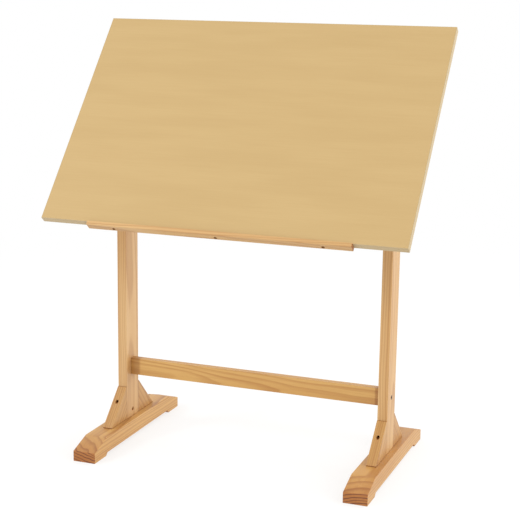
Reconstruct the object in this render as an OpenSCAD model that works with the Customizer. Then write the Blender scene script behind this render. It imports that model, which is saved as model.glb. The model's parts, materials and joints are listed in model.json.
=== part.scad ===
// Drafting table: a tilting board on two T-shaped pine legs joined by one low stretcher.
// Millimetres, +Z up. +X is the user's right, and the user stands on the -Y side.
// The origin is on the floor, under the middle of the table's footprint.

/* [Tabletop] */
// Width of the board, left to right
top_w = 914; // [840:1:1200]
// Depth of the board, from its lower edge to its upper edge
top_d = 610; // [560:1:760]
// Thickness of the board
top_t = 18; // [16:1:25]
// Thickness of the banding glued round the board's edges
band_t = 1; // [0.5:0.1:2]
// Tilt of the board as drawn, from flat
tilt = 50; // [0:1:75]

/* [Pencil ledge] */
// Length of the ledge
ledge_l = 660; // [560:1:800]
// Height of the ledge, across the board's edge
ledge_h = 22; // [20:1:30]
// Thickness of the ledge
ledge_t = 10; // [8:1:15]
// How far the ledge stands proud of the board's face
ledge_lip = 5; // [3:1:12]
// Distance between neighbouring ledge screws
ledge_screw_gap = 261; // [150:1:270]

/* [Posts] */
// Distance between the centres of the two posts
post_gap = 704; // [600:1:710]
// Thickness of a post, left to right
post_t = 25; // [20:1:30]
// Depth of a post, front to back
post_d = 68; // [60:1:80]
// Height of the tilt pivot above the floor
pivot_h = 798; // [700:1:900]

/* [Feet] */
// Length of a foot, front to back
foot_l = 500; // [460:1:640]
// Width of a foot
foot_w = 60; // [50:1:80]
// Height of a foot at its middle
foot_h = 48; // [44:1:60]
// Height of a foot's vertical end face
nose_h = 27; // [15:1:30]
// Length of the slope at each end of a foot
slope_l = 66; // [40:1:80]
// Length of the pad under each end of a foot
pad_l = 62; // [40:1:75]
// Depth of the relief between the two pads
relief_h = 8; // [4:1:9]

/* [Gussets] */
// Length of a gusset's two short sides
gusset_l = 88; // [75:1:100]

/* [Stretcher] */
// Height of the stretcher
rail_h = 44; // [40:1:70]
// Thickness of the stretcher
rail_t = 20; // [20:1:26]
// Height of the stretcher's centre above the floor
rail_z = 187; // [180:1:400]

/* [Tilt gear] */
// Distance from the board's underside down to the pivot
pivot_drop = 58; // [56:1:70]
// Radius of the arc slot, from the pivot to the clamp bolt
slot_r = 100; // [90:1:120]
// Steepest tilt that the slot allows
max_tilt = 75; // [75:1:78]
// Thickness of a tilt bracket
bracket_t = 18; // [15:1:18]
// Width of a batten
batten_w = 25; // [22:1:30]
// Height of a batten
batten_h = 40; // [36:1:42]
// Length of a batten, front to back
batten_l = 480; // [460:1:520]
// Diameter of a clamp knob across its lobes
knob_d = 50; // [44:1:52]

/* [Hidden] */
$fn = 64;

// Clearances, on the radius: pieces fixed together, and pieces that turn on each other
fit = 0.1;
run = 0.05;
// Length by which a cutter passes a face
over = 1;

// Gap between a post and its tilt bracket, filled by spacer washers
side_gap = 1.5;
washer_d = 24;
washer_t = 1.6;

// M8 carriage bolts for the pivot and the clamp
m8 = 8;
m8_hole_d = 8.4;
dome_d = 20;
dome_h = 4.4;
neck_l = 5;
nut_w = 13;
nut_h = 6.5;
nut_collar_d = 11.5;
nut_collar_h = 1.5;

// M6 bolts, with the barrel nuts that they screw into
m6 = 6;
m6_l = 60;
m6_hole_d = 6.6;
m6_past_nut = 8;
cap_d = 10;
cap_h = 6;
cap_recess_d = 14;
disc_d = 12;
disc_h = 3;
hex_key = 5;
barrel_d = 10;
barrel_l = 14;
barrel_room = 0.5;

dowel_d = 8;
dowel_l = 30;

// Wood screws
screw_d = 4;
screw_head_d = 8;
screw_head_h = 2.6;
screw_point_d = 0.6;
screw_cross_l = 3.6;
screw_cross_w = 1;
screw_cross_h = 1.4;

// Clamp knob
knob_hub_d = 22;
knob_hub_h = 6;
knob_grip_h = 16;
lobe_n = 6;
lobe_d = 17;
insert_d = 12;
insert_l = 14;
knob_run_out = 3;

// Places across the table
post_x = post_gap / 2;
post_in = post_x - post_t / 2;
post_out = post_x + post_t / 2;
bracket_in = post_out + side_gap;
bracket_out = bracket_in + bracket_t;
batten_x = bracket_out + batten_w / 2;
batten_out = bracket_out + batten_w;
clamp_x = bracket_out + washer_t;

// The longest stock bolt that ends inside the knob's insert
bolt_step = 5;
m8_l = bolt_step * floor((clamp_x + insert_l - post_in) / bolt_step);

// The table's whole outline, front to back, has the origin at its middle. Its front is the ledge's
// eased top edge or the feet, and its rear is the board's underside or the feet
ledge_ease = 2;
ledge_reach = top_d / 2 + ledge_t - ledge_ease;
ledge_rise = pivot_drop + top_t + ledge_lip - ledge_ease;
front_reach = max(foot_l / 2, ledge_reach * cos(tilt) + ledge_rise * sin(tilt) + ledge_ease);
rear_reach = max(foot_l / 2, top_d / 2 * cos(tilt) - pivot_drop * sin(tilt));
leg_y = (front_reach - rear_reach) / 2;

// Heights in the legs
clamp_h = pivot_h - slot_r;
recess_z = 15;
barrel_z = recess_z + m6_l - m6_past_nut;
gusset_tip = 2;
gusset_screw_z = foot_h + 56;
gusset_screw_l = 42;
gusset_screw_out = 13;
foot_screw_out = 50;
foot_screw_l = 48;
foot_dowel_y = 20;
rail_dowel_z = 12;
rail_dowel_in = 12;
rail_barrel_x = post_out - disc_h - m6_l + m6_past_nut;

// Tilt bracket, with the pivot at 0, 0. The arc slot runs between two drilled end holes, placed so
// that the clamp bolt stops against them at each end of the tilt
slot_w = m8 + 1;
slot_end_d = m8 + 2;
stop_gap = 0.3;
slot_end = asin(((slot_end_d - m8) / 2 - stop_gap) / slot_r);
slot_land = 22;
bracket_r = slot_r + slot_land;
bracket_back = 36;

// Screws under the board
batten_screw_ys = [-200, -70, 70, 200];
batten_screw_l = 50;
bracket_screw_ys = [-95, -40, 15];
bracket_screw_l = 38;
ledge_screw_l = 35;
ledge_screw_sink = 3;

pine = "#dcae74";
light_pine = "#e6c08a";
laminate = "#dbba82";
band_tan = "#e8cb9a";
steel = "#b9bcc0";
bronze = "#6b4a2f";
black = "#1e1e20";
brass = "#c9a24a";

// ---- Frames ----

// The legs' frame: on the floor, midway between the posts
module in_legs() {
    translate([0, leg_y, 0]) children();
}

// The board's frame: on the pivot axis, +Y towards the board's upper edge, +Z out of its face
module in_board() {
    translate([0, leg_y, pivot_h]) rotate([tilt, 0, 0]) children();
}

// Everything on one side is drawn on the right and mirrored for the left
module on_side(side) {
    if (side == "left") mirror([1, 0, 0]) children();
    else children();
}

module on_both_sides() {
    for (side = ["left", "right"]) on_side(side) children();
}

// Extrudes a (Y, Z) outline along +X, starting at x
module along_x(x, length) {
    translate([x, 0, 0]) rotate([90, 0, 90]) linear_extrude(length) children();
}

// ---- Fasteners, drawn on the Z axis ----

// Countersunk wood screw: its head's face is at z = 0 and its point at z = -length
module wood_screw(length) {
    color(bronze) difference() {
        union() {
            translate([0, 0, -screw_head_h]) cylinder(h = screw_head_h, d1 = screw_d, d2 = screw_head_d);
            translate([0, 0, screw_d - length])
                cylinder(h = length - screw_d - screw_head_h / 2, d = screw_d);
            translate([0, 0, -length]) cylinder(h = screw_d, d1 = screw_point_d, d2 = screw_d);
        }
        for (turn = [0, 90]) rotate([0, 0, turn])
            cube([screw_cross_l, screw_cross_w, 2 * screw_cross_h], center = true);
    }
}

// The hole for that screw, with a straight bore above its head
module screw_hole(length, bore) {
    translate([0, 0, -screw_head_h - fit])
        cylinder(h = screw_head_h + fit, d1 = screw_d + 2 * fit, d2 = screw_head_d + 2 * fit);
    translate([0, 0, -length - fit]) cylinder(h = length, d = screw_d + 2 * fit);
    translate([0, 0, -fit]) cylinder(h = bore + fit, d = screw_head_d + 2 * fit);
}

// Carriage bolt: its domed head is below z = 0, its square neck and shank are above
module carriage_bolt() {
    dome_r = (dome_d * dome_d / 4 + dome_h * dome_h) / (2 * dome_h);
    tip = 1.2;
    color(steel) union() {
        intersection() {
            translate([0, 0, dome_r - dome_h]) sphere(r = dome_r);
            translate([0, 0, -dome_h - over]) cylinder(h = dome_h + over, d = dome_d);
        }
        translate([-m8 / 2, -m8 / 2, -dome_h / 2]) cube([m8, m8, neck_l + dome_h / 2]);
        cylinder(h = m8_l - tip, d = m8);
        translate([0, 0, m8_l - tip]) cylinder(h = tip, d1 = m8, d2 = m8 - 2 * tip);
    }
}

// The hole in a post for a carriage bolt, with the square recess for its neck
module carriage_bolt_hole() {
    neck = m8 + 2 * fit;
    translate([-neck / 2, -neck / 2, -over]) cube([neck, neck, neck_l + fit + over]);
    cylinder(h = post_t + over, r = m8 / 2 + run);
}

// Washer standing on z = 0
module washer(thickness) {
    difference() {
        cylinder(h = thickness, d = washer_d);
        translate([0, 0, -over]) cylinder(h = thickness + 2 * over, d = m8_hole_d);
    }
}

// Hexagonal nut with a locking collar, standing on z = 0
module lock_nut() {
    color(steel) difference() {
        union() {
            cylinder(h = nut_h, d = nut_w / cos(30), $fn = 6);
            translate([0, 0, nut_h]) cylinder(h = nut_collar_h, d = nut_collar_d);
        }
        translate([0, 0, -over]) cylinder(h = nut_h + nut_collar_h + 2 * over, r = m8 / 2 + run);
    }
}

// M6 bolt: its head is above z = 0 and its shank reaches z = -m6_l
module m6_bolt(head_d, head_h) {
    tip = 1;
    difference() {
        union() {
            cylinder(h = head_h, d = head_d);
            translate([0, 0, tip - m6_l]) cylinder(h = m6_l - tip, d = m6);
            translate([0, 0, -m6_l]) cylinder(h = tip, d1 = m6 - 2 * tip, d2 = m6);
        }
        translate([0, 0, head_h / 3]) cylinder(h = head_h, d = hex_key / cos(30), $fn = 6);
    }
}

// Barrel nut lying along Z with its closed end at z = 0; the bolt crosses it along X, bolt_z up
module barrel_nut(bolt_z) {
    slot = 1.2;
    color(steel) difference() {
        cylinder(h = barrel_l, d = barrel_d);
        translate([-barrel_d, 0, bolt_z]) rotate([0, 90, 0])
            cylinder(h = 2 * barrel_d, r = m6 / 2 + run);
        translate([-barrel_d, -slot / 2, barrel_l - slot]) cube([2 * barrel_d, slot, 2 * slot]);
    }
}

module dowel(length) {
    chamfer = 1;
    color(light_pine) union() {
        cylinder(h = chamfer, d1 = dowel_d - 2 * chamfer, d2 = dowel_d);
        translate([0, 0, chamfer]) cylinder(h = length - 2 * chamfer, d = dowel_d);
        translate([0, 0, length - chamfer])
            cylinder(h = chamfer, d1 = dowel_d, d2 = dowel_d - 2 * chamfer);
    }
}

module dowel_hole(length) {
    translate([0, 0, -fit]) cylinder(h = length + 2 * fit, d = dowel_d + 2 * fit);
}

// Depth of the pocket that holds a barrel nut in the middle of a piece
function barrel_pocket(thickness) = thickness / 2 + barrel_l / 2 + barrel_room;

// ---- Places where fasteners go ----

// Up through a foot into its post: z = 0 is the seat of the bolt's head, +Z points down
module at_foot_bolt() {
    translate([post_x, 0, recess_z]) rotate([180, 0, 0]) children();
}

// Into a post from its inner face, across the foot bolt: +Z points back at the inner face
module at_foot_barrel_nut() {
    translate([post_in + barrel_pocket(post_t), 0, barrel_z]) rotate([0, -90, 0]) children();
}

module at_foot_dowels() {
    for (y = [-foot_dowel_y, foot_dowel_y]) translate([post_x, y, foot_h - dowel_l / 2]) children();
}

// Through a gusset's slope into the post: turn 0 is the front gusset and 180 the rear one
module at_gusset_post_screw(turn) {
    translate([post_x, 0, gusset_screw_z]) rotate([0, 0, turn])
        translate([0, -post_d / 2 - gusset_screw_out, 0]) rotate([90, 0, 0]) children();
}

module at_gusset_foot_screw(turn) {
    translate([post_x, 0, recess_z]) rotate([0, 0, turn])
        translate([0, -post_d / 2 - foot_screw_out, 0]) rotate([180, 0, 0]) children();
}

// Through a post's outer face into the end of the stretcher: +Z points outwards
module at_stretcher_bolt() {
    translate([post_out - disc_h, 0, rail_z]) rotate([0, 90, 0]) children();
}

module at_stretcher_barrel_nut() {
    translate([rail_barrel_x, rail_t / 2 - barrel_pocket(rail_t), rail_z]) rotate([-90, 0, 0])
        children();
}

module at_stretcher_dowels() {
    for (z = [-rail_dowel_z, rail_dowel_z])
        translate([post_in + rail_dowel_in - dowel_l, 0, rail_z + z]) rotate([0, 90, 0]) children();
}

// On a post's inner face, +Z points outwards
module at_pivot() {
    translate([post_in, 0, pivot_h]) rotate([0, 90, 0]) children();
}

module at_clamp() {
    translate([post_in, 0, clamp_h]) rotate([0, 90, 0]) children();
}

// In the board's frame: +Z points the way that the screw's head faces
module at_ledge_screws() {
    for (x = [-ledge_screw_gap, 0, ledge_screw_gap])
        translate([x, ledge_screw_sink - top_d / 2 - ledge_t, pivot_drop + top_t / 2])
            rotate([90, 0, 0]) children();
}

module at_batten_screws() {
    for (y = batten_screw_ys)
        translate([batten_x, y, pivot_drop - batten_h]) rotate([180, 0, 0]) children();
}

module at_bracket_screws() {
    for (y = bracket_screw_ys)
        translate([batten_out, y, pivot_drop - batten_h / 2]) rotate([0, 90, 0]) children();
}

// ---- Legs ----

module foot(side) {
    half = foot_l / 2;
    pad = half - pad_l;
    color(pine) on_side(side) in_legs() difference() {
        along_x(post_x - foot_w / 2, foot_w) polygon([
            [-half, 0], [-half, nose_h], [slope_l - half, foot_h], [half - slope_l, foot_h],
            [half, nose_h], [half, 0], [pad, 0], [pad - relief_h, relief_h],
            [relief_h - pad, relief_h], [-pad, 0]
        ]);
        at_foot_bolt() {
            cylinder(h = recess_z + over, d = cap_recess_d);
            translate([0, 0, -foot_h]) cylinder(h = foot_h + over, d = m6_hole_d);
        }
        at_foot_dowels() dowel_hole(dowel_l);
        for (turn = [0, 180]) at_gusset_foot_screw(turn) screw_hole(foot_screw_l, recess_z + over);
    }
}

module post(side) {
    color(pine) on_side(side) in_legs() difference() {
        along_x(post_in, post_t) {
            translate([-post_d / 2, foot_h]) square([post_d, pivot_h - foot_h]);
            translate([0, pivot_h]) circle(d = post_d);
        }
        at_pivot() carriage_bolt_hole();
        at_clamp() carriage_bolt_hole();
        at_foot_bolt() translate([0, 0, -m6_l - over]) cylinder(h = m6_l, d = m6_hole_d);
        at_foot_barrel_nut() cylinder(h = barrel_pocket(post_t) + over, d = barrel_d + 2 * fit);
        at_foot_dowels() dowel_hole(dowel_l);
        for (turn = [0, 180]) at_gusset_post_screw(turn) screw_hole(gusset_screw_l, over);
        at_stretcher_bolt() {
            cylinder(h = disc_h + over, d = disc_d + 2 * fit);
            translate([0, 0, -post_t]) cylinder(h = post_t + over, d = m6_hole_d);
        }
        at_stretcher_dowels() dowel_hole(dowel_l);
    }
}

// A right triangle with its two thin tips cut off
module gusset(side, turn) {
    color(light_pine) on_side(side) in_legs() difference() {
        translate([post_x, 0, 0]) rotate([0, 0, turn]) along_x(-post_t / 2, post_t)
            translate([-post_d / 2, foot_h]) polygon([
                [0, 0], [0, gusset_l], [-gusset_tip, gusset_l], [-gusset_l, gusset_tip], [-gusset_l, 0]
            ]);
        at_gusset_post_screw(turn) screw_hole(gusset_screw_l, gusset_l);
        at_gusset_foot_screw(turn) screw_hole(foot_screw_l, over);
    }
}

module stretcher() {
    color(pine) in_legs() difference() {
        translate([-post_in, -rail_t / 2, rail_z - rail_h / 2]) cube([2 * post_in, rail_t, rail_h]);
        on_both_sides() {
            at_stretcher_bolt() translate([0, 0, -m6_l - over]) cylinder(h = m6_l, d = m6_hole_d);
            at_stretcher_barrel_nut() cylinder(h = barrel_pocket(rail_t) + over, d = barrel_d + 2 * fit);
            at_stretcher_dowels() dowel_hole(dowel_l);
        }
    }
}

module foot_bolts() {
    color(steel) on_both_sides() in_legs() at_foot_bolt() m6_bolt(cap_d, cap_h);
}

// Each nut sits at the bottom of its pocket, so that the bolt crosses it near its middle
module foot_barrel_nuts() {
    on_both_sides() in_legs() at_foot_barrel_nut() barrel_nut(barrel_pocket(post_t) - post_t / 2);
}

module foot_dowels() {
    on_both_sides() in_legs() at_foot_dowels() dowel(dowel_l);
}

module gusset_post_screws() {
    on_both_sides() in_legs() for (turn = [0, 180])
        at_gusset_post_screw(turn) wood_screw(gusset_screw_l);
}

module gusset_foot_screws() {
    on_both_sides() in_legs() for (turn = [0, 180]) at_gusset_foot_screw(turn) wood_screw(foot_screw_l);
}

module stretcher_bolts() {
    color(bronze) on_both_sides() in_legs() at_stretcher_bolt() m6_bolt(disc_d, disc_h);
}

module stretcher_barrel_nuts() {
    on_both_sides() in_legs() at_stretcher_barrel_nut() barrel_nut(barrel_pocket(rail_t) - rail_t / 2);
}

module stretcher_dowels() {
    on_both_sides() in_legs() at_stretcher_dowels() dowel(dowel_l);
}

// ---- Tilt gear ----

module pivot_bolt(side) {
    on_side(side) in_legs() at_pivot() carriage_bolt();
}

module clamp_bolt(side) {
    on_side(side) in_legs() at_clamp() carriage_bolt();
}

module spacer_washers() {
    color(black) on_both_sides() in_legs() {
        at_pivot() translate([0, 0, post_t]) washer(side_gap);
        at_clamp() translate([0, 0, post_t]) washer(side_gap);
    }
}

module pivot_washers() {
    color(steel) on_both_sides() in_legs() at_pivot()
        translate([0, 0, bracket_out - post_in]) washer(washer_t);
}

module pivot_lock_nuts() {
    on_both_sides() in_legs() at_pivot() translate([0, 0, clamp_x - post_in]) lock_nut();
}

module clamp_washers() {
    color(steel) on_both_sides() in_legs() at_clamp()
        translate([0, 0, bracket_out - post_in]) washer(washer_t);
}

// A lobed grip on a round hub, with a blind hole for the threaded insert. The hole goes on a little
// beyond the insert, so that the bolt's tip never bottoms before the knob is tight
module clamp_knob(side) {
    lobe_r = (knob_d - lobe_d) / 2;
    color(black) on_side(side) in_legs() at_clamp() translate([0, 0, clamp_x - post_in]) difference() {
        union() {
            cylinder(h = knob_hub_h + over, d = knob_hub_d);
            translate([0, 0, knob_hub_h]) linear_extrude(knob_grip_h) {
                circle(r = lobe_r);
                for (i = [1 : lobe_n])
                    rotate(i * 360 / lobe_n) translate([lobe_r, 0]) circle(d = lobe_d);
            }
        }
        translate([0, 0, -over]) cylinder(h = insert_l + fit + over, d = insert_d + 2 * fit);
        cylinder(h = insert_l + knob_run_out, d = m8 + 1);
    }
}

module knob_insert(side) {
    color(brass) on_side(side) in_legs() at_clamp() translate([0, 0, clamp_x - post_in]) difference() {
        cylinder(h = insert_l, d = insert_d);
        translate([0, 0, -over]) cylinder(h = insert_l + 2 * over, r = m8 / 2 + run);
    }
}

// Direction in the bracket that points straight down when the board's tilt is the given angle
function down_at(angle) = [-sin(angle), -cos(angle)];

module arc_slot() {
    first = slot_end;
    last = max_tilt - slot_end;
    fan_r = 1.5 * slot_r;
    fan_n = 4;
    fan = [for (i = [0 : fan_n]) fan_r * down_at(first + (last - first) * i / fan_n)];
    intersection() {
        difference() {
            circle(r = slot_r + slot_w / 2);
            circle(r = slot_r - slot_w / 2);
        }
        polygon(concat([[0, 0]], fan));
    }
    for (angle = [first, last]) translate(slot_r * down_at(angle)) circle(d = slot_end_d);
}

module tilt_bracket(side) {
    color(light_pine) on_side(side) in_board() difference() {
        along_x(bracket_in, bracket_t) difference() {
            union() {
                translate([-bracket_r, 0]) square([bracket_r + bracket_back, pivot_drop]);
                intersection() {
                    circle(r = bracket_r);
                    translate([-2 * bracket_r, -2 * bracket_r])
                        square([2 * bracket_r + bracket_back, 2 * bracket_r]);
                }
            }
            arc_slot();
        }
        translate([bracket_in - over, 0, 0]) rotate([0, 90, 0])
            cylinder(h = bracket_t + 2 * over, r = m8 / 2 + run);
        at_bracket_screws() screw_hole(bracket_screw_l, over);
    }
}

// ---- Board ----

module tabletop() {
    core_w = top_w - 2 * band_t;
    core_d = top_d - 2 * band_t;
    color(laminate) in_board() difference() {
        translate([-core_w / 2, -core_d / 2, pivot_drop]) cube([core_w, core_d, top_t]);
        on_both_sides() at_batten_screws() screw_hole(batten_screw_l, over);
        at_ledge_screws() screw_hole(ledge_screw_l, over);
    }
}

// Four strips with butt joints: the front and back strips run the full width
module edge_banding() {
    joint = 0.1;
    side_l = top_d - 2 * band_t - 2 * joint;
    color(band_tan) in_board() difference() {
        union() {
            for (y = [-top_d / 2, top_d / 2 - band_t])
                translate([-top_w / 2, y, pivot_drop]) cube([top_w, band_t, top_t]);
            for (x = [-top_w / 2, top_w / 2 - band_t])
                translate([x, -side_l / 2, pivot_drop]) cube([band_t, side_l, top_t]);
        }
        at_ledge_screws() screw_hole(ledge_screw_l, over);
    }
}

module pencil_ledge() {
    low_z = pivot_drop + top_t + ledge_lip - ledge_h;
    color(light_pine) in_board() difference() {
        along_x(-ledge_l / 2, ledge_l) translate([-top_d / 2 - ledge_t, low_z]) {
            translate([ledge_ease, 0]) square([ledge_t - ledge_ease, ledge_h]);
            translate([0, ledge_ease]) square([ledge_t, ledge_h - 2 * ledge_ease]);
            for (z = [ledge_ease, ledge_h - ledge_ease])
                translate([ledge_ease, z]) circle(r = ledge_ease);
        }
        at_ledge_screws() screw_hole(ledge_screw_l, ledge_t);
    }
}

module ledge_screws() {
    in_board() at_ledge_screws() wood_screw(ledge_screw_l);
}

module batten(side) {
    color(light_pine) on_side(side) in_board() difference() {
        translate([bracket_out, -batten_l / 2, pivot_drop - batten_h])
            cube([batten_w, batten_l, batten_h]);
        at_batten_screws() screw_hole(batten_screw_l, over);
        at_bracket_screws() screw_hole(bracket_screw_l, over);
    }
}

module batten_screws() {
    on_both_sides() in_board() at_batten_screws() wood_screw(batten_screw_l);
}

module bracket_screws() {
    on_both_sides() in_board() at_bracket_screws() wood_screw(bracket_screw_l);
}

foot("left");  // left_foot
foot("right");  // right_foot
post("left");  // left_post
post("right");  // right_post
gusset("left", 0);  // left_front_gusset
gusset("left", 180);  // left_rear_gusset
gusset("right", 0);  // right_front_gusset
gusset("right", 180);  // right_rear_gusset
stretcher();
foot_bolts();
foot_barrel_nuts();
foot_dowels();
gusset_post_screws();
gusset_foot_screws();
stretcher_bolts();
stretcher_barrel_nuts();
stretcher_dowels();
pivot_bolt("left");  // left_pivot_bolt
pivot_bolt("right");  // right_pivot_bolt
pivot_washers();
pivot_lock_nuts();
spacer_washers();
clamp_bolt("left");  // left_clamp_bolt
clamp_bolt("right");  // right_clamp_bolt
clamp_washers();
clamp_knob("left");  // left_clamp_knob
clamp_knob("right");  // right_clamp_knob
knob_insert("left");  // left_knob_insert
knob_insert("right");  // right_knob_insert
tabletop();
edge_banding();
pencil_ledge();
ledge_screws();
batten("left");  // left_batten
batten("right");  // right_batten
batten_screws();
tilt_bracket("left");  // left_tilt_bracket
tilt_bracket("right");  // right_tilt_bracket
bracket_screws();
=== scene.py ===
"""Drafting table: wood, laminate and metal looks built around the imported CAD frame."""

import json
import math

import bmesh
import bpy
from mathutils import Matrix, Quaternion, Vector


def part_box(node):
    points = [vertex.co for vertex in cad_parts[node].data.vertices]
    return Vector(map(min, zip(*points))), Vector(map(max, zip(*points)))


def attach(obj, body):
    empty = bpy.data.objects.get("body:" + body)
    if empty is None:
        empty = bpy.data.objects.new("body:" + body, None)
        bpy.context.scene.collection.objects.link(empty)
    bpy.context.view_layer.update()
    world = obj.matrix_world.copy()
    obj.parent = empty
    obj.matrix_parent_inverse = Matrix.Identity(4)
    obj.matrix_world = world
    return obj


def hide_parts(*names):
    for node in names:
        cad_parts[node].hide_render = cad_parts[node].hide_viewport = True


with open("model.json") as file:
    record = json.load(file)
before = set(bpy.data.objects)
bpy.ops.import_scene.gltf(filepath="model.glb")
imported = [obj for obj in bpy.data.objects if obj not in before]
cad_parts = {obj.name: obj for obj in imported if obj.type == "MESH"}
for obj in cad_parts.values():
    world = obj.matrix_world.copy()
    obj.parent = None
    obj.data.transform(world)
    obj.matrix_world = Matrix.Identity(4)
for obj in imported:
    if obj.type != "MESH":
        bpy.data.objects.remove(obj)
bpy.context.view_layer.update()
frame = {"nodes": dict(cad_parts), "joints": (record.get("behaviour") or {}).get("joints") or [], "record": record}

MM = 0.001
X, Y, Z = Vector((1, 0, 0)), Vector((0, 1, 0)), Vector((0, 0, 1))
record = frame["record"]
body_of = {node: body for body, nodes in record["behaviour"]["bodies"].items() for node in nodes}
slot_of = {part["node"]: part["material_slot"] for part in record["subparts"]}
tilt_joint = next(joint for joint in frame["joints"] if joint["name"] == "tabletop_tilt")
pivot = Vector(tilt_joint["pos_m"])
tilt = -math.radians(tilt_joint["range_deg"][0])
board_turn = Matrix.Rotation(tilt, 3, "X")
board_up = board_turn @ Y


# ---- Shader node shorthand ----

def feed(tree, node, inputs):
    """Gives each input of a node a value, or a link from another node's socket."""
    for key, value in dict(inputs).items():
        if isinstance(value, bpy.types.NodeSocket):
            tree.links.new(value, node.inputs[key])
        else:
            node.inputs[key].default_value = value


def add(tree, kind, inputs=(), **settings):
    """Adds a node, sets its properties, and feeds its inputs."""
    node = tree.nodes.new("ShaderNode" + kind)
    for name, value in settings.items():
        setattr(node, name, value)
    feed(tree, node, inputs)
    return node


def maths(tree, operation, a, b=0.0, c=0.0):
    return add(tree, "Math", {0: a, 1: b, 2: c}, operation=operation).outputs[0]


def vector_maths(tree, operation, a, b=(0, 0, 0)):
    node = add(tree, "VectorMath", {0: a, 1: b}, operation=operation)
    return node.outputs["Value" if operation in ("LENGTH", "DOT_PRODUCT") else "Vector"]


def mix(tree, factor, a, b, blend="MIX"):
    """Mixes two colours."""
    return add(tree, "Mix", {0: factor, 6: a, 7: b}, data_type="RGBA", blend_type=blend).outputs[2]


def tint(tree, colour, filter_colour):
    """Multiplies two colours."""
    return mix(tree, 1.0, colour, filter_colour, "MULTIPLY")


def grain_shade(tree, colour, fibre, spread):
    """Lightens and darkens a colour with the fibres, by up to half of spread either way."""
    level = maths(tree, "MULTIPLY_ADD", fibre, spread, 1 - spread / 2)
    return tint(tree, colour, add(tree, "CombineColor", {0: level, 1: level, 2: level}).outputs[0])


def mix_number(tree, factor, a, b):
    """Mixes two numbers."""
    return add(tree, "Mix", {0: factor, 2: a, 3: b}, data_type="FLOAT").outputs[0]


def ease(tree, value, low, high, to_low=0.0, to_high=1.0):
    """Smooth step of value from low to high."""
    node = add(tree, "MapRange", {"Value": value, "From Min": low, "From Max": high, "To Min": to_low,
                                  "To Max": to_high}, interpolation_type="SMOOTHSTEP")
    return node.outputs["Result"]


def noise(tree, vector, stretch, detail=2.0, roughness=0.5):
    """Noise in metres: stretch is its frequency per metre along x, y and z."""
    place = vector_maths(tree, "MULTIPLY", vector, stretch)
    return add(tree, "TexNoise", {"Vector": place, "Scale": 1.0, "Detail": detail,
                                  "Roughness": roughness}).outputs["Fac"]


def group(name, inputs, outputs, build):
    """A node group whose inside is made by build(tree, input sockets), which returns the outputs."""
    tree = bpy.data.node_groups.new(name, "ShaderNodeTree")
    for label, kind in inputs:
        tree.interface.new_socket(name=label, in_out="INPUT", socket_type="NodeSocket" + kind)
    for label, kind in outputs:
        tree.interface.new_socket(name=label, in_out="OUTPUT", socket_type="NodeSocket" + kind)
    source = tree.nodes.new("NodeGroupInput")
    sink = tree.nodes.new("NodeGroupOutput")
    for label, socket in build(tree, source.outputs).items():
        tree.links.new(socket, sink.inputs[label])
    return tree


def use(tree, shared, inputs):
    """Puts a node group into a tree and returns its outputs."""
    return add(tree, "Group", inputs, node_tree=shared).outputs


def material(name, **shader):
    """An empty material with a Principled shader: returns the material, its tree and the shader."""
    made = bpy.data.materials.new(name)
    made.use_nodes = True
    tree = made.node_tree
    principled = tree.nodes["Principled BSDF"]
    for key, value in shader.items():
        principled.inputs[key.replace("_", " ")].default_value = value
    return made, tree, principled


def bump(tree, principled, height, distance, strength=1.0):
    node = add(tree, "Bump", {"Height": height, "Distance": distance, "Strength": strength})
    tree.links.new(node.outputs["Normal"], principled.inputs["Normal"])


def local_frame(tree, origin, along, side):
    """Object coordinates measured from origin, with z along the grain and x towards side."""
    z = along.normalized()
    x = (side - side.dot(z) * z).normalized()
    turn = Matrix((x, z.cross(x), z)).transposed().to_euler()
    place = add(tree, "TexCoord").outputs["Object"]
    return add(tree, "Mapping", {"Vector": place, "Location": origin, "Rotation": turn},
               vector_type="TEXTURE").outputs["Vector"]


def across_grain(tree, along):
    """How squarely a face cuts the grain: 0 on a long face, 1 on an end."""
    normal = add(tree, "TexCoord").outputs["Normal"]
    return maths(tree, "ABSOLUTE", vector_maths(tree, "DOT_PRODUCT", normal, along.normalized()))


def centre_of(node):
    low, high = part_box(node)
    return (low + high) / 2


def glued_depth(tree, node, way):
    """Distance from the outermost face of a node in one direction along X, Y or Z."""
    low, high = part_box(node)
    face = max(low.dot(way), high.dot(way))
    reach = vector_maths(tree, "DOT_PRODUCT", add(tree, "TexCoord").outputs["Object"], way)
    return maths(tree, "SUBTRACT", face, reach)


# ---- Pine ----

PALE = (0.66, 0.440, 0.225, 1)
HONEY = (0.58, 0.350, 0.150, 1)
LATEWOOD = (0.40, 0.180, 0.056, 1)
END_LATEWOOD = (0.20, 0.075, 0.035, 1)
END_TINT = (0.69, 0.465, 0.30, 1)
FLECK = (0.30, 0.14, 0.05, 1)
# Painted shade beside glued faces; on the gussets it is also a glue line
SHADE_AND_GLUE_TINT = (0.74, 0.64, 0.54, 1)
RING_WANDER = 30 * MM
WANDER_PER_METRE = (7, 7, 2.2)


def ring_radius(tree, inputs, shifted):
    """Distance from the heart of the tree. The rings wander slowly along the trunk, and waver a little
    round it."""
    wander_place = vector_maths(tree, "MULTIPLY", shifted, WANDER_PER_METRE)
    wander = add(tree, "TexNoise", {"Vector": wander_place, "Scale": 1.0, "Detail": 1.5}).outputs["Color"]
    wander = vector_maths(tree, "SUBTRACT", wander, (0.5, 0.5, 0.5))
    wander = vector_maths(tree, "MULTIPLY", wander, (RING_WANDER, RING_WANDER, 0))
    flat = vector_maths(tree, "MULTIPLY", vector_maths(tree, "ADD", inputs["Vector"], wander), (1, 1, 0))
    waver = maths(tree, "MULTIPLY", noise(tree, shifted, (45, 45, 6)), inputs["Waver"])
    return maths(tree, "ADD", vector_maths(tree, "LENGTH", flat), waver)


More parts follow.
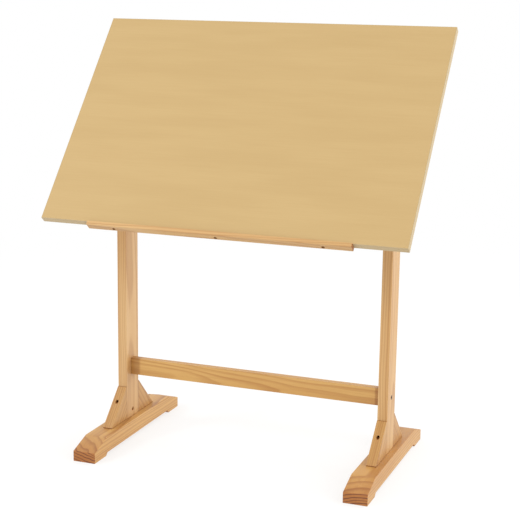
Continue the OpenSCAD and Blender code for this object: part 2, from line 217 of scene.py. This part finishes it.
def latewood(tree, inputs, radius):
    """Strength of the dark latewood, which builds up over a year's growth and stops sharply. Each
    year's ring has its own width and strength, and on an end the latewood is a thinner line."""
    years = maths(tree, "DIVIDE", radius, inputs["Ring"])
    year_place = add(tree, "CombineXYZ", {0: maths(tree, "MULTIPLY", years, 0.55), 1: inputs["Seed"]})
    years = maths(tree, "ADD", years, noise(tree, year_place.outputs[0], (1, 1, 1), detail=0.0))
    age = maths(tree, "FRACT", years)
    chance = add(tree, "TexWhiteNoise", {"W": maths(tree, "FLOOR", years)}, noise_dimensions="1D")
    strength = maths(tree, "MULTIPLY_ADD", chance.outputs["Value"], 0.55, 0.45)
    build_up = ease(tree, age, 0.30, 0.90)
    stop = ease(tree, age, 0.90, 1.0, 1.0, 0.0)
    late = maths(tree, "MULTIPLY", build_up, stop)
    late = maths(tree, "MULTIPLY", late, strength)
    late = maths(tree, "MULTIPLY", late, inputs["Contrast"])
    thinner = ease(tree, age, 0.55, 0.85)
    return maths(tree, "MULTIPLY", late, mix_number(tree, inputs["End"], 1.0, thinner))


def own_place(tree, inputs):
    """The place in the noises, which Seed moves so that no two pieces are alike."""
    seed = inputs["Seed"]
    away = add(tree, "CombineXYZ", {0: seed, 1: maths(tree, "MULTIPLY", seed, 0.37),
                                    2: maths(tree, "MULTIPLY", seed, 0.11)}).outputs[0]
    return vector_maths(tree, "ADD", inputs["Vector"], away)


def pine_rings(tree, inputs):
    """Pine round the z axis: soft earlywood and dark latewood in rings, fibres, streaks and resin."""
    shifted = own_place(tree, inputs)
    late = latewood(tree, inputs, ring_radius(tree, inputs, shifted))
    end = inputs["End"]

    # Fibres, streaks, broad patches and short resin flecks along the grain
    fibre = noise(tree, shifted, (1300, 1300, 14), detail=3.0, roughness=0.6)
    streak = noise(tree, shifted, (210, 210, 2.4))
    patch = noise(tree, shifted, (18, 18, 1.7), detail=1.0)
    fleck = ease(tree, noise(tree, shifted, (1500, 1500, 110), detail=0.0), 0.76, 0.86)

    colour = mix(tree, ease(tree, patch, 0.30, 0.70), PALE, HONEY)
    colour = mix(tree, maths(tree, "MULTIPLY", ease(tree, streak, 0.45, 0.80), 0.30), colour, LATEWOOD)
    depth = maths(tree, "MULTIPLY", late, maths(tree, "MULTIPLY_ADD", end, 0.60, 0.62))
    colour = mix(tree, depth, colour, mix(tree, end, LATEWOOD, END_LATEWOOD))
    colour = grain_shade(tree, colour, fibre, 0.20)
    colour = mix(tree, maths(tree, "MULTIPLY", fleck, 0.35), colour, FLECK)
    colour = mix(tree, ease(tree, end, 0.0, 0.50), colour, tint(tree, colour, END_TINT))

    height = maths(tree, "ADD", maths(tree, "MULTIPLY", late, 0.6), maths(tree, "MULTIPLY", fibre, 0.5))
    height = maths(tree, "SUBTRACT", height, maths(tree, "MULTIPLY", fleck, 0.5))
    rough = maths(tree, "ADD", ease(tree, fibre, 0.3, 0.7, 0.40, 0.52), maths(tree, "MULTIPLY", end, 0.15))
    return {"Color": colour, "Height": height, "Roughness": rough}


pine_group = group("pine_rings",
                   (("Vector", "Vector"), ("Ring", "Float"), ("Seed", "Float"), ("End", "Float"),
                    ("Waver", "Float"), ("Contrast", "Float")),
                   (("Color", "Color"), ("Height", "Float"), ("Roughness", "Float")), pine_rings)


def pine(name, along, pith, ring, seed, lean=0.0, waver=2.2, contrast=1.0, tone=(1, 1, 1), shaded_joins=()):
    """Clear-lacquered pine. pith is from the piece's centre to the heart of the tree, ring is the width
    of a year's growth, and lean is how much the tree's axis leans across the piece, which draws out the
    rings into long arches. waver is in mm, and tone tints the whole piece. The last argument gives the
    directions of its glued faces, each with the width in mm of a strip of painted shade beside it; on some
    pieces that strip is also a glue line."""
    made, tree, principled = material(name, Coat_Weight=0.12, Coat_Roughness=0.30)
    axis = (along + lean * pith.normalized()).normalized()
    place = local_frame(tree, centre_of(name) + pith, axis, pith)
    wood = use(tree, pine_group, {"Vector": place, "Ring": ring, "Seed": seed, "Waver": waver * MM,
                                  "Contrast": contrast, "End": across_grain(tree, along)})
    colour = tint(tree, wood["Color"], (*tone, 1))
    # Painted shade or painted shadow in a strip beside each glued face, on some pieces also a glue line
    for way, width in shaded_joins:
        depth = maths(tree, "DIVIDE", glued_depth(tree, name, way), width * MM)
        join_shade = ease(tree, depth, 0.85, 1.15, 1.0, 0.0)
        colour = mix(tree, join_shade, colour, tint(tree, colour, SHADE_AND_GLUE_TINT))
    tree.links.new(colour, principled.inputs["Base Color"])
    tree.links.new(wood["Roughness"], principled.inputs["Roughness"])
    bump(tree, principled, wood["Height"], 0.06 * MM)
    return made


# ---- Other woods ----

LAMINATE_LIGHT = (0.518, 0.355, 0.150, 1)
LAMINATE_DARK = (0.498, 0.337, 0.139, 1)
LAMINATE_GRAIN = (0.455, 0.297, 0.113, 1)
LAMINATE_LINE = (0.370, 0.225, 0.077, 1)
BANDING_LIGHT = (0.505, 0.39, 0.22, 1)
BANDING_DARK = (0.46, 0.34, 0.175, 1)
BANDING_FLECK = (0.36, 0.22, 0.10, 1)
BIRCH_LIGHT = (0.82, 0.62, 0.37, 1)
BIRCH_DARK = (0.70, 0.48, 0.24, 1)
BIRCH_END_PLY = (0.47, 0.27, 0.115, 1)
PLY_GLUE = (0.20, 0.10, 0.045, 1)
BEECH_LIGHT = (0.75, 0.53, 0.31, 1)
BEECH_DARK = (0.62, 0.40, 0.20, 1)


def laminate(name):
    """Tan wood-print laminate: soft grain along the board's width under a satin face."""
    made, tree, principled = material(name)
    place = local_frame(tree, pivot, X, board_up)
    cloud = noise(tree, place, (24, 24, 3.2))
    grain = noise(tree, place, (420, 420, 6.5), detail=3.0, roughness=0.6)
    line = noise(tree, place, (1500, 1500, 20), detail=1.0)
    colour = mix(tree, ease(tree, cloud, 0.30, 0.70), LAMINATE_LIGHT, LAMINATE_DARK)
    colour = mix(tree, ease(tree, grain, 0.35, 0.75, 0.0, 0.22), colour, LAMINATE_GRAIN)
    colour = mix(tree, ease(tree, line, 0.62, 0.80, 0.0, 0.16), colour, LAMINATE_LINE)
    tree.links.new(colour, principled.inputs["Base Color"])
    tree.links.new(ease(tree, grain, 0.3, 0.7, 0.52, 0.58), principled.inputs["Roughness"])
    bump(tree, principled, line, 0.005 * MM)
    return made


def banding(name):
    """Pale beech edge banding: long fine grain with short darker flecks."""
    made, tree, principled = material(name)
    place = local_frame(tree, pivot, X, board_up)
    grain = noise(tree, place, (500, 500, 7), detail=3.0, roughness=0.6)
    fleck = noise(tree, place, (1500, 1500, 160), detail=0.0)
    colour = mix(tree, ease(tree, grain, 0.3, 0.7), BANDING_LIGHT, BANDING_DARK)
    colour = mix(tree, ease(tree, fleck, 0.66, 0.80, 0.0, 0.40), colour, BANDING_FLECK)
    tree.links.new(colour, principled.inputs["Base Color"])
    tree.links.new(ease(tree, grain, 0.3, 0.7, 0.42, 0.52), principled.inputs["Roughness"])
    bump(tree, principled, fleck, -0.01 * MM)
    return made


def plywood(name, plies=13):
    """Birch plywood with its face veneers square to X: the plies show as bands on its edges."""
    made, tree, principled = material(name, Coat_Weight=0.10, Coat_Roughness=0.35)
    low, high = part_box(name)
    centre = centre_of(name)
    place = local_frame(tree, Vector((low.x, centre.y, centre.z)), board_up, X)
    depth = maths(tree, "DIVIDE", add(tree, "SeparateXYZ", {0: place}).outputs[0], (high.x - low.x) / plies)
    end_ply = maths(tree, "MODULO", maths(tree, "FLOOR", depth), 2.0)
    glue = maths(tree, "ABSOLUTE", maths(tree, "SUBTRACT", maths(tree, "FRACT", depth), 0.5))
    glue = ease(tree, glue, 0.44, 0.49)
    edge = ease(tree, maths(tree, "SUBTRACT", 1.0, across_grain(tree, X)), 0.3, 0.7)
    veneer = noise(tree, place, (160, 160, 3.0), detail=3.0, roughness=0.6)
    fibre = noise(tree, place, (1300, 1300, 30))
    banded = maths(tree, "MULTIPLY", end_ply, maths(tree, "MULTIPLY", edge, 0.75))
    glued = maths(tree, "MULTIPLY", glue, maths(tree, "MULTIPLY", edge, 0.7))
    colour = mix(tree, ease(tree, veneer, 0.3, 0.75), BIRCH_LIGHT, BIRCH_DARK)
    colour = mix(tree, banded, colour, BIRCH_END_PLY)
    colour = mix(tree, glued, colour, PLY_GLUE)
    colour = grain_shade(tree, colour, fibre, 0.22)
    tree.links.new(colour, principled.inputs["Base Color"])
    tree.links.new(ease(tree, fibre, 0.3, 0.7, 0.42, 0.55), principled.inputs["Roughness"])
    bump(tree, principled, fibre, 0.04 * MM)
    return made


def dowel_wood(name, along):
    """Plain beech."""
    made, tree, principled = material(name)
    place = local_frame(tree, Vector(), along, X if abs(along.x) < 0.5 else Y)
    grain = noise(tree, place, (700, 700, 25), detail=3.0)
    colour = mix(tree, ease(tree, grain, 0.3, 0.7), BEECH_LIGHT, BEECH_DARK)
    tree.links.new(colour, principled.inputs["Base Color"])
    tree.links.new(ease(tree, grain, 0.3, 0.7, 0.5, 0.65), principled.inputs["Roughness"])
    bump(tree, principled, grain, 0.04 * MM)
    return made


# ---- Metal and plastic ----

ZINC_LIGHT = (0.74, 0.75, 0.76, 1)
ZINC_DARK = (0.60, 0.60, 0.58, 1)
BRONZE_LIGHT = (0.20, 0.125, 0.075, 1)
BRONZE_DARK = (0.09, 0.055, 0.035, 1)
BRASS_LIGHT = (0.83, 0.62, 0.28, 1)
BRASS_DARK = (0.66, 0.46, 0.18, 1)
BLACK = (0.017, 0.017, 0.018, 1)
WORN_BLACK = (0.027, 0.026, 0.026, 1)


def metal(name, light, dark, low_rough, high_rough):
    """Plated metal: uneven plating, fine scratches and a little handling."""
    made, tree, principled = material(name, Metallic=1.0)
    place = add(tree, "TexCoord").outputs["Object"]
    cloud = noise(tree, place, (160, 160, 160), detail=3.0, roughness=0.6)
    scratch = noise(tree, place, (260, 3000, 3000), detail=1.0)
    handled = maths(tree, "ADD", maths(tree, "MULTIPLY", scratch, 0.5), maths(tree, "MULTIPLY", cloud, 0.5))
    colour = mix(tree, ease(tree, cloud, 0.35, 0.70), light, dark)
    rough = ease(tree, handled, 0.35, 0.65, low_rough, high_rough)
    tree.links.new(colour, principled.inputs["Base Color"])
    tree.links.new(rough, principled.inputs["Roughness"])
    bump(tree, principled, scratch, 0.01 * MM)
    return made


def moulded_plastic(name):
    """Black moulded plastic with a fine spark-eroded texture."""
    made, tree, principled = material(name)
    place = add(tree, "TexCoord").outputs["Object"]
    grit = noise(tree, place, (2600, 2600, 2600), detail=2.0, roughness=0.7)
    cloud = noise(tree, place, (90, 90, 90))
    colour = mix(tree, ease(tree, cloud, 0.3, 0.7), BLACK, WORN_BLACK)
    tree.links.new(colour, principled.inputs["Base Color"])
    tree.links.new(ease(tree, grit, 0.3, 0.7, 0.42, 0.58), principled.inputs["Roughness"])
    bump(tree, principled, grit, 0.05 * MM)
    return made


# ---- Pieces ----

# Wavers, the glue lines with painted seam shade and the painted shadows at the stretcher's ends are in mm
FOOT_WAVER = {"left": 9.0, "right": 2.5}
FOOT_TONE = (0.87, 0.735, 0.44)
POST_TONE = {"left": (0.95, 0.92, 0.83), "right": (0.92, 0.86, 0.71)}
GUSSET_TONE = (0.77, 0.645, 0.42)
BATTEN_TONE = (0.92, 0.84, 0.68)
STRETCHER_TONE = (0.895, 0.785, 0.465)
LEDGE_TONE = (0.92, 0.86, 0.69)
# Width of a glue line with painted shade in the seam beside each glued gusset face
GLUE_AND_SHADE_LINE = 2.0
# Painted shadows at the stretcher's ends, 26 mm and 14 mm wide, where the posts cut off the side lamps
STRETCHER_END_SHADOWS = ((-X, 26.0), (X, 14.0))
SHARP = math.radians(35)
FLAT = math.radians(0.6)
WELD = 0.01 * MM


def dress(piece, look):
    """Gives a piece one material in place of what it had."""
    piece.data.materials.clear()
    piece.data.materials.append(look)


def eased(node, look, width, least_mm2=9.0, segments=3):
    """A copy of a CAD node with its sharp edges rounded to width, which replaces that node. Edges beside
    a face smaller than least_mm2, such as the rims of screw holes, stay crisp. The faces are cut into
    triangles at the end, so that slivers can be taken out."""
    work = bmesh.new()
    work.from_mesh(frame["nodes"][node].data)
    bmesh.ops.remove_doubles(work, verts=work.verts[:], dist=WELD)
    bmesh.ops.dissolve_limit(work, angle_limit=FLAT, verts=work.verts[:], edges=work.edges[:])
    corners = [edge for edge in work.edges if edge.is_manifold and edge.calc_face_angle() > SHARP
               and min(face.calc_area() for face in edge.link_faces) > least_mm2 * MM * MM]
    bmesh.ops.bevel(work, geom=corners, offset=width, offset_type="OFFSET", segments=segments,
                    profile=0.5, affect="EDGES", clamp_overlap=False, loop_slide=True)
    bmesh.ops.triangulate(work, faces=work.faces[:], quad_method="BEAUTY", ngon_method="BEAUTY")
    bmesh.ops.dissolve_degenerate(work, dist=WELD, edges=work.edges[:])
    mesh = bpy.data.meshes.new(node + "_eased")
    work.to_mesh(mesh)
    work.free()
    if "custom_normal" in mesh.attributes:
        mesh.attributes.remove(mesh.attributes["custom_normal"])
    mesh.polygons.foreach_set("use_smooth", [True] * len(mesh.polygons))
    mesh.set_sharp_from_angle(angle=SHARP)
    piece = bpy.data.objects.new(node + "_eased", mesh)
    bpy.context.scene.collection.objects.link(piece)
    normals = piece.modifiers.new("normals", "WEIGHTED_NORMAL")
    normals.keep_sharp = True
    dress(piece, look)
    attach(piece, body_of[node])
    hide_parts(node)


def dress_leg(side, mirror, seed):
    """A foot, its post and two gussets, each cut from its own place in a tree."""
    foot, post = side + "_foot", side + "_post"
    foot_pine = pine(foot, Y, pith=Vector((0.03 * mirror, 0, -0.2)), ring=8.0 * MM, seed=seed, lean=0.02,
                     waver=FOOT_WAVER[side], contrast=1.5, tone=FOOT_TONE)
    eased(foot, foot_pine, width=1.2 * MM)
    post_pine = pine(post, Z, pith=Vector((-0.075, 0.012 * mirror, 0)), ring=6.2 * MM, seed=seed + 5,
                     lean=0.010, tone=POST_TONE[side])
    eased(post, post_pine, width=1.0 * MM)
    for end, way in (("front", -1), ("rear", 1)):
        gusset = f"{side}_{end}_gusset"
        # Glue line and painted seam shade beside the faces glued to the post and the foot
        shaded_joins = ((Vector((0, -way, 0)), GLUE_AND_SHADE_LINE), (-Z, GLUE_AND_SHADE_LINE))
        gusset_pine = pine(gusset, Vector((0, -way, 1)), pith=Vector((0.06 * mirror, 0.01, 0.01)),
                           ring=6.0 * MM, seed=seed + 9 + way, lean=0.02, tone=GUSSET_TONE, shaded_joins=shaded_joins)
        eased(gusset, gusset_pine, width=0.8 * MM)


def dress_mounting(side, mirror, seed):
    """A batten under the board and the tilt bracket beside it."""
    batten, bracket = side + "_batten", side + "_tilt_bracket"
    batten_pine = pine(batten, board_up, pith=Vector((0.05 * mirror, 0, 0.01)), ring=6.0 * MM,
                       seed=seed + 14, lean=0.015, tone=BATTEN_TONE)
    eased(batten, batten_pine, width=1.0 * MM)
    eased(bracket, plywood(bracket), width=0.6 * MM, least_mm2=4.0, segments=2)


def dress_rails():
    """The stretcher between the legs and the pencil ledge."""
    # Its ends get painted shadow beside the posts
    stretcher_pine = pine("stretcher", X, pith=Vector((0, 0.030, -0.016)), ring=7.5 * MM, seed=7.7,
                          lean=0.035, waver=4.0, tone=STRETCHER_TONE, shaded_joins=STRETCHER_END_SHADOWS)
    eased("stretcher", stretcher_pine, width=1.0 * MM)
    ledge_pine = pine("pencil_ledge", X, pith=Vector((0, 0.05, 0.03)), ring=7.0 * MM, seed=21.4,
                      lean=0.02, tone=LEDGE_TONE)
    eased("pencil_ledge", ledge_pine, width=0.5 * MM)


def dress_board():
    """The laminated board, whose edges are nearly crisp, and the banding round it."""
    eased("tabletop", laminate("tabletop"), width=0.15 * MM, segments=2)
    eased("edge_banding", banding("edge_banding"), width=0.25 * MM, segments=2)


def dress_hardware():
    """The fasteners, washers, inserts and dowels keep their CAD shapes and get new materials. Only the
    knobs are rounded."""
    looks = {
        "zinc_steel": metal("zinc_steel", ZINC_LIGHT, ZINC_DARK, low_rough=0.24, high_rough=0.42),
        "bronzed_steel": metal("bronzed_steel", BRONZE_LIGHT, BRONZE_DARK, low_rough=0.34, high_rough=0.52),
        "brass": metal("brass", BRASS_LIGHT, BRASS_DARK, low_rough=0.22, high_rough=0.38),
        "black_plastic": moulded_plastic("black_plastic"),
    }
    for node, piece in frame["nodes"].items():
        if slot_of[node] in looks:
            dress(piece, looks[slot_of[node]])
    dress(frame["nodes"]["foot_dowels"], dowel_wood("foot_dowel_wood", Z))
    dress(frame["nodes"]["stretcher_dowels"], dowel_wood("stretcher_dowel_wood", X))
    for side in ("left", "right"):
        eased(side + "_clamp_knob", looks["black_plastic"], width=1.8 * MM, least_mm2=2.0, segments=4)


# ---- Studio ----

WHITE = (1, 1, 1, 1)
FLOOR_LIGHT = (0.93, 0.93, 0.925, 1)
FLOOR_DARK = (0.91, 0.91, 0.905, 1)
LAMP_CENTRE = Vector((0, 0, 0.4))
LAMP_DISTANCE = 4.0


def direction(azimuth, elevation):
    """Unit vector away from the table: azimuth in degrees from the front towards the right."""
    azimuth, elevation = math.radians(azimuth), math.radians(elevation)
    return Vector((math.sin(azimuth) * math.cos(elevation), -math.cos(azimuth) * math.cos(elevation),
                   math.sin(elevation)))


def look_at(thing, aim, roll=0.0):
    """Turns a camera or lamp, which face along their own -Z, towards a point."""
    thing.rotation_mode = "QUATERNION"
    thing.rotation_quaternion = (aim - thing.location).to_track_quat("-Z", "Y") @ Quaternion(Z, roll)


def place_camera():
    """Front right of the table and a little above it, with a long lens."""
    azimuth, elevation, roll = 20.66, 11.91, 0.81
    distance = 3.298
    aim = Vector((0.0150, centre_of("stretcher").y, 0.5005))
    data = bpy.data.cameras.new("camera")
    data.sensor_width = 36.0
    data.lens = 91.57
    camera = bpy.data.objects.new("camera", data)
    bpy.context.scene.collection.objects.link(camera)
    camera.location = aim + distance * direction(azimuth, elevation)
    look_at(camera, aim, math.radians(roll))
    bpy.context.scene.camera = camera


def softbox(name, azimuth, elevation, size, power):
    """A square lamp that faces the table."""
    data = bpy.data.lights.new(name, "AREA")
    data.size = size
    data.energy = power
    lamp = bpy.data.objects.new(name, data)
    bpy.context.scene.collection.objects.link(lamp)
    lamp.location = LAMP_CENTRE + LAMP_DISTANCE * direction(azimuth, elevation)
    look_at(lamp, LAMP_CENTRE)


def light_studio():
    """White surroundings, a lamp on each side of the camera, a wide fill from the right, and a lamp
    behind the table that lights the rear of the feet."""
    world = bpy.data.worlds.new("studio")
    world.use_nodes = True
    background = world.node_tree.nodes["Background"]
    background.inputs["Color"].default_value = WHITE
    background.inputs["Strength"].default_value = 1.0
    bpy.context.scene.world = world
    softbox("left_lamp", azimuth=-47, elevation=30, size=0.7, power=34)
    softbox("right_lamp", azimuth=30, elevation=35, size=1.5, power=20)
    softbox("side_fill", azimuth=88, elevation=15, size=2.5, power=48)
    softbox("rear_lamp", azimuth=150, elevation=30, size=2.0, power=35)
    bpy.context.scene.view_settings.view_transform = "Standard"


def lay_floor():
    """A pale floor that fades into the white surroundings a few metres away."""
    reach = 30.0
    corners = [(-reach, -reach, 0), (reach, -reach, 0), (reach, reach, 0), (-reach, reach, 0)]
    mesh = bpy.data.meshes.new("floor")
    mesh.from_pydata(corners, [], [(0, 1, 2, 3)])
    floor = bpy.data.objects.new("floor", mesh)
    bpy.context.scene.collection.objects.link(floor)
    made, tree, principled = material("floor", Roughness=0.9)
    place = add(tree, "TexCoord").outputs["Object"]
    tone = noise(tree, place, (3, 3, 3), detail=3.0)
    tree.links.new(mix(tree, tone, FLOOR_LIGHT, FLOOR_DARK), principled.inputs["Base Color"])
    glow = add(tree, "Emission", {"Color": WHITE, "Strength": 1.0})
    fade_start, fade_end, least_glow = 0.6, 3.0, 0.7
    share = ease(tree, vector_maths(tree, "LENGTH", place), fade_start, fade_end, least_glow, 1.0)
    blend = add(tree, "MixShader", {0: share, 1: principled.outputs[0], 2: glow.outputs[0]})
    tree.links.new(blend.outputs[0], tree.nodes["Material Output"].inputs["Surface"])
    mesh.materials.append(made)


place_camera()
light_studio()
lay_floor()
for side, mirror in (("left", -1), ("right", 1)):
    side_seed = 3.1 + mirror
    dress_leg(side, mirror, side_seed)
    dress_mounting(side, mirror, side_seed)
dress_rails()
dress_board()
dress_hardware()
